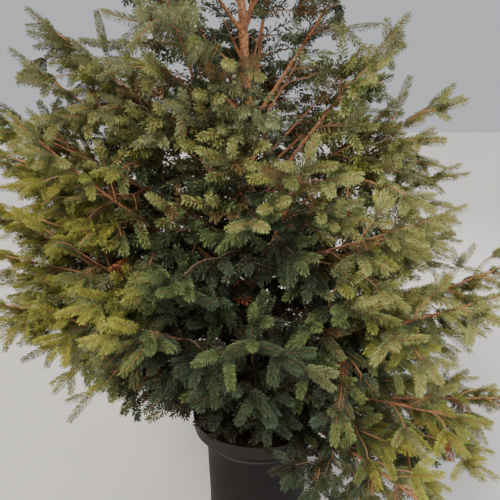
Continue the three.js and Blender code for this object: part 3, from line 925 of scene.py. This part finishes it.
def twig_arrays(shoots, stations):
    """Three-sided tapering twigs with a ring of points at each station."""
    count = len(shoots)
    age = shoots[:, AGE]
    rings = []
    for share in stations:
        point, direction = along_shoot(shoots, np.full(count, share))
        over, side = across_shoot(shoots, direction)
        radius = twig_radius(age + 0.7 * (1 - share))[:, None]
        for k in range(3):
            turn = 2 * math.pi * k / 3 + math.pi / 2
            rings.append(point + (side * math.cos(turn) + over * math.sin(turn)) * radius)
    points = np.stack(rings, 1).reshape(-1, 3)
    pattern = ring_faces(len(stations), 3)[:, ::-1]
    faces = pattern[None] + (np.arange(count) * 3 * len(stations))[:, None, None]
    looks = np.where(in_shade(shoots), SHADE_TWIG, np.clip(age, 0, 2).astype(np.int32))
    looks = np.repeat(looks, len(pattern))
    return points, faces.reshape(-1, 3), looks


def needle_counts(shoots, tree):
    """How many needles each shoot has: many on young ones, few on old and hidden ones."""
    length = np.linalg.norm(shoots[:, END] - shoots[:, START], axis=1)
    age = shoots[:, AGE]
    kept = np.select([age < 1, age < 2, age < 3], [1.0, 0.50, 0.30], 0.20)
    kept = kept * np.interp(shoots[:, DEPTH], [0.22, 0.55], [1.0, 0.28])
    return np.maximum(6, np.round(length * 100 * tree.needles_per_cm * kept)).astype(int)


def needle_arrays(shoots, tints, tree, seed, kept):
    """Flat pointed needles: all round young shoots, beside and below older ones."""
    rng = np.random.default_rng(seed)
    each = np.maximum(3, (needle_counts(shoots, tree) * kept).astype(int))
    which = np.repeat(np.arange(len(shoots)), each)
    count = len(which)
    order = np.arange(count) - np.repeat(np.cumsum(each) - each, each)
    s = (order + rng.random(count)) / each[which]
    rows = shoots[which]
    age, depth = rows[:, AGE], rows[:, DEPTH]
    point, direction = along_shoot(rows, s)
    over, side = across_shoot(rows, direction)
    turn = order * NEEDLE_TURN + rng.uniform(-0.25, 0.25, count)
    up = np.sin(turn)
    up = np.where((age >= 1) & (up > 0.1), -0.6 * up, up)
    radial = unit(side * np.cos(turn)[:, None] + over * up[:, None])
    lean = (62 - 24 * s**3 + rng.uniform(-5, 5, count)) * (1 - 0.25 * radial[:, 2])
    lean = np.radians(lean)[:, None]
    aim = direction * np.cos(lean) + radial * np.sin(lean)
    aim[:, 2] -= 0.10
    aim = unit(aim)
    length = tree.needle_length * rng.uniform(0.92, 1.06, count)
    length *= np.interp(depth, DEEP_FROM_TO, [1.0, 1.3])
    length *= 1 - 0.26 * s**5 - 0.35 * (1 - s) ** 7
    width = tree.needle_width * np.interp(depth, DEEP_FROM_TO, [1.0, 2.8])
    low_back = (depth > 0.4) & (rows[:, END_Y] > 0) & (rows[:, END_Z] < 1.2)
    width *= np.where(low_back, LOW_BACK_WIDER, 1.0)
    hand = np.where(order % 2, 1, -1)
    face = over * 0.6 + outward(point) * 0.6 + rng.normal(0, 0.3, (count, 3))
    across = unit(np.cross(aim, face)) * (hand * width)[:, None]
    root = point + radial * twig_radius(age)[:, None] * 0.5
    tip = root + aim * length[:, None]
    middle = root + aim * (length * 0.70)[:, None] + across
    points = np.where((hand > 0)[:, None, None],
                      np.stack([root, middle, tip], 1), np.stack([root, tip, middle], 1))
    faces = np.arange(count * 3).reshape(-1, 3)
    looks = tints[which]
    # Painted shade: the lower part of each young shoot, deeper in its spray, takes the next darker
    # tint.
    foot = (age < 1) & (s < 0.4)
    looks = np.where(foot & (looks < DEEP_GREEN), looks + 1, looks)
    for tip, below in ((PALE_TIP, PALE_GREEN), (SHADE_TIP, SHADE_GREEN)):
        looks = np.where(foot & (looks == tip), below, looks)
    return points.reshape(-1, 3), faces, looks


def in_shade(shoots):
    """True for shoots in the lower middle of the front, which the sun doesn't reach."""
    x, y, z, shade = (shoots[:, k] for k in (END_X, END_Y, END_Z, SHADE))
    share = np.interp(np.abs(x + 0.04), [0.12, 0.34], [1, 0]) * np.interp(z, [1.1, 1.45], [1, 0])
    return (y < 0.1) & (share > 0.45 - 0.3 * shade)


def tint_score(x, z, age, depth):
    """How dark each shoot is by its age, and by painted shade and painted light at its place: 0 at the
    bright tips, 5 and more deep inside.
    """
    score = np.interp(age, [0, 1, 2, 3], [0.6, 2.9, 4.1, 4.8])
    # Painted shade: shoots deep in the crown take darker tints, less so high up.
    score += 4.6 * np.clip(depth - 0.17, 0, 1) * np.interp(z, [1.1, 1.5], [1, 0.6])
    # Painted shade: the front's middle, which the sun doesn't reach, takes darker tints, most of all
    # low down.
    middle = np.interp(np.abs(x), [0.12, 0.45], [1, 0])
    score += middle * np.interp(z, [0.5, 0.9, 1.1, 1.4], [3.2, 2.3, 1.9, 1.0]) - 0.4
    # Painted light: sunlit shoots on the right take lighter tints.
    right = np.interp(x, [0.1, 0.3], [0, 1.2])
    score -= right * np.interp(z, [0.7, 0.9, 1.6, 1.8], [0, 1, 1, 0])
    score += np.interp(z, [0.4, 0.9, 1.3, 1.7, 2.4], [0.2, 0.0, -0.5, -0.3, 0.6])
    # Painted light: sunlit shoots on the left take lighter tints.
    left = np.interp(x, [-0.45, -0.25], [0.45, 0])
    score -= left * np.interp(z, [0.5, 0.7, 1.2, 1.4], [0, 1, 1, 0])
    return score


def deal_tints(shoots, rng):
    """A tint number for each shoot, by its age, by its place in the crown with painted shade and
    painted light, and by chance.
    """
    columns = (END_X, END_Y, END_Z, AGE, DEPTH, SHADE)
    x, y, z, age, depth, shade = (shoots[:, k] for k in columns)
    # Painted shade on the lower left, where the sprays' shaded undersides face the camera: darker tints
    # there.
    painted_shade_low_left = np.interp(x, [-0.62, -0.5, -0.25, -0.15], [0, 1, 1, 0])
    painted_shade_low_left *= np.interp(z + 0.4 * y, [0.64, 0.78], [1, 0])
    score = tint_score(x, z, age, depth) + 1.5 * painted_shade_low_left
    score += shade + rng.normal(0, 0.3, len(shoots))
    tints = np.clip(np.round(score), BRIGHT_TIP, DEEP_GREEN).astype(int)
    threshold = np.minimum(0.5 + 0.7 * shade, 0.95)
    pale = np.interp(x, [-0.1, 0.4], [0, 1]) * np.interp(z, [0.55, 0.95], [0, 1])
    pale = np.maximum(pale, np.interp(z, [1.0, 1.5], [0, 1])) > threshold
    tints = np.select([pale & (tints < GREEN), pale & (tints == GREEN)], [PALE_TIP, PALE_GREEN], tints)
    shady, lot = in_shade(shoots), rng.random(len(shoots))
    # Painted warm light: russet is dealt most where the low sun falls, and on the lower left.
    warm = np.interp(x, [0.05, 0.30], [0, 1]) * np.interp(z, [0.8, 1.0], [0.1, 1])
    warm = np.maximum(warm, np.interp(z, [1.05, 1.25], [0, 0.8]))
    warm = np.maximum(warm, painted_shade_low_left)
    chance = RUSSET_COOL[tints] + (RUSSET_WARM - RUSSET_COOL)[tints] * warm
    russet = ~shady & ((age >= 1) | (tints > COOL_GREEN)) & (lot < chance)
    high = np.interp(z, [1.30, 1.90], [0, 1]) > threshold
    tints = np.where(high, HIGH_TINTS[tints], np.where(russet, RUSSET, tints))
    tip = (tints < LEAF_GREEN) | (tints > DRY)
    tints = np.select([shady & tip, shady & (tints == LEAF_GREEN)], [SHADE_TIP, SHADE_GREEN], tints)
    dry = (depth > 0.5) & (z < 1.1) & (rng.random(len(shoots)) < 0.03)
    for tuft in DRY_TUFTS:
        dry |= np.linalg.norm(shoots[:, END] - tuft, axis=1) < DRY_REACH
    return np.where(dry, DRY, tints)


def add_mesh(store, points, faces, looks=None):
    """Adds a part's arrays to a store of arrays that become one mesh."""
    shift = sum(len(p) for p in store["points"])
    store["points"].append(points)
    store["faces"].append(faces + shift)
    if looks is not None:
        store["looks"].append(looks)


# Bark

KNOT_HEIGHT = 0.014
KNOT_SWELL = 0.0022
FLARE_LOBE_DEPTH = 0.16
BOUGH_RINGS_PER_METRE = 62


def closed_tube(points, rings, sides):
    """A tube's points and triangles, its end closed by the last point."""
    last = (rings - 1) * sides
    cap = [[last + k, last + (k + 1) % sides, len(points) - 1] for k in range(sides)]
    return np.array(points), np.concatenate([ring_faces(rings, sides), np.array(cap)])


def bark_tube(centres, radii, sides, relief, seed):
    """A limb with bark relief round a middle line, its end closed."""
    centres = [Vector(c) for c in centres]
    points = []
    side = None
    for i, centre in enumerate(centres):
        ahead = centres[min(i + 1, len(centres) - 1)] - centres[max(i - 1, 0)]
        ahead.normalize()
        side = ahead.orthogonal() if side is None else side
        side = (side - ahead * side.dot(ahead)).normalized()
        over = ahead.cross(side)
        for k in range(sides):
            turn = 2 * math.pi * k / sides
            out = side * math.cos(turn) + over * math.sin(turn)
            spot = centre + out * radii[i]
            place = Vector((spot.x * 70, spot.y * 70, spot.z * 38 + seed))
            scales = noise.noise(place) + 0.5 * noise.noise(place * 2.7)
            points.append(spot + out * scales * relief[i])
    points.append(centres[-1] + ahead * radii[-1] * 0.8)
    return closed_tube(points, len(centres), sides)


def trunk_arrays():
    """The trunk from just inside the soil's surface to its tip."""
    sides, rings = 40, 300
    points = []
    for i in range(rings):
        share = (i / (rings - 1)) ** 1.15
        z = SOIL_LEVEL + share * (TRUNK_TIP - SOIL_LEVEL)
        centre, radius = trunk_centre(z), trunk_radius(z)
        rooting = math.exp(-(z - SOIL_LEVEL) / FLARE_HEIGHT)
        knot = sum(math.exp(-((z - height) / KNOT_HEIGHT) ** 2) for _, height, _ in WHORLS)
        for k in range(sides):
            turn = 2 * math.pi * k / sides
            lobe = 1 + FLARE_LOBE_DEPTH * rooting * math.cos(FLARE_LOBES * turn)
            out = Vector((math.sin(turn), -math.cos(turn), 0))
            spot = centre + out * (radius * lobe)
            place = Vector((spot.x * 60, spot.y * 60, spot.z * 34))
            scales = noise.noise(place) + 0.6 * noise.noise(place * 2.6)
            height = 0.0004 + 0.045 * radius
            points.append(spot + out * (scales * height + KNOT_SWELL * knot))
    points.append(trunk_centre(TRUNK_TIP) + UP * 0.002)
    return closed_tube(points, rings, sides)


def bough_arrays(bough, seed):
    """One bough with bark relief, swollen where it leaves the trunk."""
    rings = max(14, round(bough.length * BOUGH_RINGS_PER_METRE))
    shares = [0.985 * i / (rings - 1) for i in range(rings)]
    radii = []
    for share in shares:
        swell = 1 + 0.45 * math.exp(-share * bough.length / 0.022)
        radii.append(bough.radius(share) * swell)
    relief = [0.00035 + 0.05 * radius for radius in radii]
    return bark_tube([bough.at(s) for s in shares], radii, 9, relief, seed)


# Pot

def pot_profile(pot):
    """Radius and height round the pot's wall, from the middle of its underside to its floor."""
    h, collar, wall = pot.height, pot.collar_radius, pot.wall
    shoulder = h - COLLAR_HEIGHT
    base, top = FOOT_RADIUS, SHOULDER_RADIUS

    def body(z):
        return base + (top - base) * z / shoulder

    ring, step = shoulder - RING_DROP, shoulder - STEP_DROP
    outside = [(0.0, 0.006), (0.165, 0.006), (0.171, 0.0), (base - 0.006, 0.0)]
    outside += arc((base - 0.006, 0.006), 0.006, -90, 0, 5)
    outside += [(body(z) - 0.002, z) for z in (0.05, 0.12, 0.19, step - 0.002)]
    outside += [(body(step + 0.003), step + 0.003), (body(ring) - 0.0003, ring - 0.004)]
    outside += arc((body(ring), ring), 0.0028, -80, 80, 6)
    outside += [(body(ring) + 0.0004, ring + 0.004), (top - 0.001, shoulder - 0.004)]
    outside += [(top + 0.001, shoulder + 0.002), (collar - 0.012, shoulder + 0.001)]
    outside += arc((collar - 0.005, shoulder + 0.005), 0.005, -90, -8, 5)
    outside += [(collar, h - 0.012), (collar + 0.001, h - 0.008)]
    outside += arc((collar + 0.0008, h - 0.004), 0.0032, -60, 90, 7)
    inside = arc((collar - wall + 0.003, h - 0.0038), 0.003, 90, 180, 4)
    inside += [(collar - wall - 0.002, shoulder + 0.014), (collar - wall - 0.006, shoulder + 0.009)]
    inside += [(top - wall, shoulder + 0.008), (base - wall, 0.010), (0.0, 0.009)]
    return outside + inside


def arc(centre, radius, start, end, steps):
    """Points on an arc in the profile's plane, in degrees from the outward direction."""
    turns = [math.radians(start + (end - start) * i / (steps - 1)) for i in range(steps)]
    return [(centre[0] + radius * math.cos(t), centre[1] + radius * math.sin(t)) for t in turns]


def turned(profile, sides, wobble=0.0):
    """A turned closed skin from a profile that starts and ends on the axis."""
    rings = profile[1:-1]
    points = []
    for i, (radius, z) in enumerate(rings):
        for k in range(sides):
            turn = 2 * math.pi * k / sides
            place = Vector((math.cos(turn) * 1.6, math.sin(turn) * 1.6, z * 5))
            r = radius + wobble * noise.noise(place)
            points.append((r * math.cos(turn), r * math.sin(turn), z))
    points += [(0, 0, profile[0][1]), (0, 0, profile[-1][1])]
    faces = ring_faces(len(rings), sides)
    low, high, last = len(points) - 2, len(points) - 1, (len(rings) - 1) * sides
    caps = [[(k + 1) % sides, k, low] for k in range(sides)]
    caps += [[last + k, last + (k + 1) % sides, high] for k in range(sides)]
    return np.array(points), np.concatenate([faces, np.array(caps)])


def cut_holes(piece, count, circle, radius):
    """Cuts drain holes through a pot's floor."""
    mesh = bpy.data.meshes.new("drain_cutters")
    cutters = bmesh.new()
    for i in range(count):
        turn = 2 * math.pi * (i + 0.5) / count
        place = Matrix.Translation((math.cos(turn) * circle, math.sin(turn) * circle, 0.005))
        bmesh.ops.create_cone(
            cutters, cap_ends=True, segments=28, radius1=radius, radius2=radius,
            depth=0.05, matrix=place)
    cutters.to_mesh(mesh)
    cutters.free()
    cutter = bpy.data.objects.new("drain_cutters", mesh)
    bpy.context.scene.collection.objects.link(cutter)
    cut = piece.modifiers.new("drain_holes", "BOOLEAN")
    cut.operation, cut.object, cut.solver = "DIFFERENCE", cutter, "EXACT"
    bpy.context.view_layer.update()
    evaluated = piece.evaluated_get(bpy.context.evaluated_depsgraph_get())
    made = bpy.data.meshes.new_from_object(evaluated)
    piece.modifiers.clear()
    piece.data = made
    bpy.data.objects.remove(cutter)


# Operators

class SPRUCE_OT_limbs(bpy.types.Operator):
    """Builds the trunk and the boughs with the relief of their bark"""

    bl_idname = "spruce.limbs"
    bl_label = "Trunk and boughs"

    def execute(self, context):
        colours = context.scene.spruce_colours
        bark = bark_material("bark", colours.bark, colours.bark_crack)
        points, faces = trunk_arrays()
        trunk = mesh_object("trunk_bark", points, faces, [bark], smooth=True)
        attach(trunk, "root")
        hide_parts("trunk")
        store = {"points": [], "faces": []}
        for i, bough in enumerate(all_boughs()):
            add_mesh(store, *bough_arrays(bough, 3.7 * i))
        points, faces = np.concatenate(store["points"]), np.concatenate(store["faces"])
        boughs = mesh_object("bough_bark", points, faces, [bark], smooth=True)
        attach(boughs, "root")
        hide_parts(*[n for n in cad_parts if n.startswith("bough_")])
        return {"FINISHED"}


class SPRUCE_OT_foliage(bpy.types.Operator):
    """Grows the twigs and needles of every mass, in pieces of a few masses each"""

    bl_idname = "spruce.foliage"
    bl_label = "Twigs and needles"

    MOST_FACES = 185000
    HIDDEN = 0.5

    def execute(self, context):
        tree, colours = context.scene.spruce_tree, context.scene.spruce_colours
        self.needles = [needle_material("needles_" + t, getattr(colours, t)) for t in TINTS]
        self.twigs = [twig_material(t, getattr(colours, t)) for t in TWIG_TINTS]
        growth = Growth(tree)
        names, held, kept = [], [], 0
        seen = set()
        for bough in all_boughs():
            growth.rows = []
            grow_mass(growth, bough)
            if bough.name == "leader":
                grow_stem(growth, bough)
            if bough.whorl not in seen:
                for branch in thin_branches(len(seen), tree.seed):
                    grow_thin(growth, branch)
                seen.add(bough.whorl)
            shoots = np.array(growth.rows, float)
            count = needle_counts(shoots, tree).sum()
            if kept + count > self.MOST_FACES:
                self.make_pieces(tree, names, np.concatenate(held))
                names, held, kept = [], [], 0
            names.append(bough.name)
            held.append(shoots)
            kept += count
        self.make_pieces(tree, names, np.concatenate(held))
        return {"FINISHED"}

    def make_pieces(self, tree, names, shoots):
        """One piece of twigs and one of needles for some masses."""
        rng = np.random.default_rng(len(shoots))
        old = shoots[shoots[:, AGE] >= 1]
        young = shoots[(shoots[:, AGE] < 1) & (shoots[:, DEPTH] < self.HIDDEN)]
        store = {"points": [], "faces": [], "looks": []}
        add_mesh(store, *twig_arrays(old, (0, 0.35, 0.7, 1)))
        add_mesh(store, *twig_arrays(young, (0, 1)))
        made = [np.concatenate(store[key]) for key in ("points", "faces", "looks")]
        stems = mesh_object("twigs_" + names[0], *made[:2], self.twigs, made[2])
        points, faces, looks = needle_arrays(
            shoots, deal_tints(shoots, rng), tree, len(shoots), 1.0)
        spray = mesh_object("needles_" + names[0], points, faces, self.needles, looks)
        for piece in (stems, spray):
            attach(piece, "root")
            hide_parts(*["foliage_" + name for name in names])


class SPRUCE_OT_pot(bpy.types.Operator):
    """Builds the nursery pot with its collar, ring, step and drain holes"""

    bl_idname = "spruce.pot"
    bl_label = "Pot"

    SIDES = 144
    WOBBLE = 0.0012
    HOLES, HOLES_CIRCLE, HOLE_RADIUS = 6, 0.140, 0.013
    SHARP_ANGLE = math.radians(38)

    def execute(self, context):
        pot = context.scene.spruce_pot
        plastic = plastic_material("dull_plastic", pot.plastic, pot.dust, pot.height)
        points, faces = turned(pot_profile(pot), self.SIDES, self.WOBBLE)
        piece = mesh_object("nursery_pot", points, faces, [plastic], smooth=True)
        cut_holes(piece, self.HOLES, self.HOLES_CIRCLE, self.HOLE_RADIUS)
        piece.data.set_sharp_from_angle(angle=self.SHARP_ANGLE)
        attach(piece, "root")
        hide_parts("pot")
        return {"FINISHED"}


class SPRUCE_OT_soil(bpy.types.Operator):
    """Builds the soil's crumbly surface"""

    bl_idname = "spruce.soil"
    bl_label = "Soil"

    SIDES, RINGS = 150, 46
    UNDERSIDE = 0.345
    CRUMBS_FROM, CRUMBS_TO = 0.352, 0.366

    def execute(self, context):
        pot = context.scene.spruce_pot
        earth = soil_material("potting_soil", pot.soil)
        outer = pot.collar_radius - pot.wall - 0.0025
        profile = [(0.0, self.UNDERSIDE), (outer * 0.7, self.UNDERSIDE), (outer - 0.002, 0.3573)]
        for i in range(self.RINGS + 1):
            radius = outer * (1 - i / (self.RINGS + 0.5))
            profile.append((radius, SOIL_LEVEL - 0.003 * min(1, radius / 0.1)))
        profile.append((0.0, SOIL_LEVEL))
        points, faces = turned(profile, self.SIDES)
        for i, (x, y, z) in enumerate(points):
            if z > self.CRUMBS_FROM:
                place = Vector((x * 60, y * 60, 3.0))
                rough = noise.noise(place) * 0.0035 + noise.noise(place * 3.1) * 0.002
                points[i][2] = min(z + rough, self.CRUMBS_TO)
        piece = mesh_object("soil_surface", points, faces, [earth], smooth=True)
        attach(piece, "root")
        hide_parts("soil")
        return {"FINISHED"}


class SPRUCE_OT_stage(bpy.types.Operator):
    """Sets the floor, the soft studio light and the camera"""

    bl_idname = "spruce.stage"
    bl_label = "Stage"

    # Each soft light: name, place, size, power and colour.
    LIGHTS = [
        ("fill", (4.4, -3.4, 3.0), 3.6, 190.0, (0.96, 0.97, 1.0)),
        ("back", (1.5, 4.8, 4.4), 3.6, 120.0, (1.0, 0.97, 0.93)),
    ]
    SUN_TURN = (math.radians(48), 0, math.radians(-38))
    SUN_POWER, SUN_COLOUR, SUN_SPREAD = 3.2, (1.0, 0.92, 0.80), math.radians(24)
    SKY_POWER, SKY_COLOUR = 0.62, (0.88, 0.90, 0.95, 1)
    FLOOR_SIZE = 60.0

    def execute(self, context):
        stage = context.scene.spruce_stage
        self.make_floor(stage)
        self.make_light(context)
        camera = bpy.data.objects.new("camera", bpy.data.cameras.new("camera"))
        context.scene.collection.objects.link(camera)
        camera.location = (stage.camera_side, -stage.camera_distance, stage.camera_height)
        camera.rotation_euler = (math.pi / 2 - stage.camera_pitch, 0, 0)
        camera.data.sensor_width = 36
        camera.data.lens = stage.lens
        camera.data.dof.use_dof = False
        context.scene.camera = camera
        return {"FINISHED"}

    def make_floor(self, stage):
        """A wide pale floor."""
        material, tree, shader = new_material("pale_floor")
        shader.inputs["Base Color"].default_value = (*stage.floor, 1)
        rough_between(tree, shader, noise_node(tree, 3.0), 0.7, 0.85)
        size = self.FLOOR_SIZE
        points = [(-size, -size, 0), (size, -size, 0), (size, size, 0), (-size, size, 0)]
        floor = mesh_object("floor", points, [(0, 1, 2), (0, 2, 3)], [material])
        floor.location.z = -0.0005

    def make_light(self, context):
        """Large soft lights aimed at the crown, and a pale sky all round."""
        aim = Vector((0, 0, 1.2))
        for name, place, size, power, colour in self.LIGHTS:
            data = bpy.data.lights.new(name, "AREA")
            data.shape, data.size = "DISK", size
            data.energy, data.color = power, colour
            light = bpy.data.objects.new(name, data)
            light.location = place
            light.rotation_euler = (aim - Vector(place)).to_track_quat("-Z", "Y").to_euler()
            context.scene.collection.objects.link(light)
        sun = bpy.data.objects.new("key", bpy.data.lights.new("key", "SUN"))
        sun.data.energy, sun.data.color = self.SUN_POWER, self.SUN_COLOUR
        sun.data.angle = self.SUN_SPREAD
        sun.rotation_euler = self.SUN_TURN
        context.scene.collection.objects.link(sun)
        world = bpy.data.worlds.new("pale_sky")
        world.use_nodes = True
        background = world.node_tree.nodes["Background"]
        background.inputs["Color"].default_value = self.SKY_COLOUR
        background.inputs["Strength"].default_value = self.SKY_POWER
        context.scene.world = world


class SPRUCE_PT_panel(bpy.types.Panel):
    """Lists the sizes, the colours and the pieces"""

    bl_idname = "SPRUCE_PT_panel"
    bl_label = "Potted spruce"
    bl_space_type = "VIEW_3D"
    bl_region_type = "UI"
    bl_category = "Spruce"

    def draw(self, context):
        for group in GROUPS:
            box = self.layout.box()
            settings = getattr(context.scene, group)
            for name in settings.__annotations__:
                box.prop(settings, name)
        for maker in MAKERS:
            self.layout.operator(maker.bl_idname)


GROUPS = {
    "spruce_tree": SpruceTree,
    "spruce_colours": SpruceColours,
    "spruce_pot": SprucePot,
    "spruce_stage": SpruceStage,
}
MAKERS = (SPRUCE_OT_limbs, SPRUCE_OT_foliage, SPRUCE_OT_pot, SPRUCE_OT_soil, SPRUCE_OT_stage)


def register():
    """Adds the settings, the operators and the panel."""
    for group, kind in GROUPS.items():
        bpy.utils.register_class(kind)
        setattr(bpy.types.Scene, group, PointerProperty(type=kind))
    for kind in (*MAKERS, SPRUCE_PT_panel):
        bpy.utils.register_class(kind)


def unregister():
    """Takes them away again."""
    for kind in (SPRUCE_PT_panel, *reversed(MAKERS)):
        bpy.utils.unregister_class(kind)
    for group, kind in GROUPS.items():
        delattr(bpy.types.Scene, group)
        bpy.utils.unregister_class(kind)


def main():
    """Builds every piece."""
    register()
    bpy.ops.spruce.limbs()
    bpy.ops.spruce.foliage()
    bpy.ops.spruce.pot()
    bpy.ops.spruce.soil()
    bpy.ops.spruce.stage()


if __name__ == "__main__":
    main()
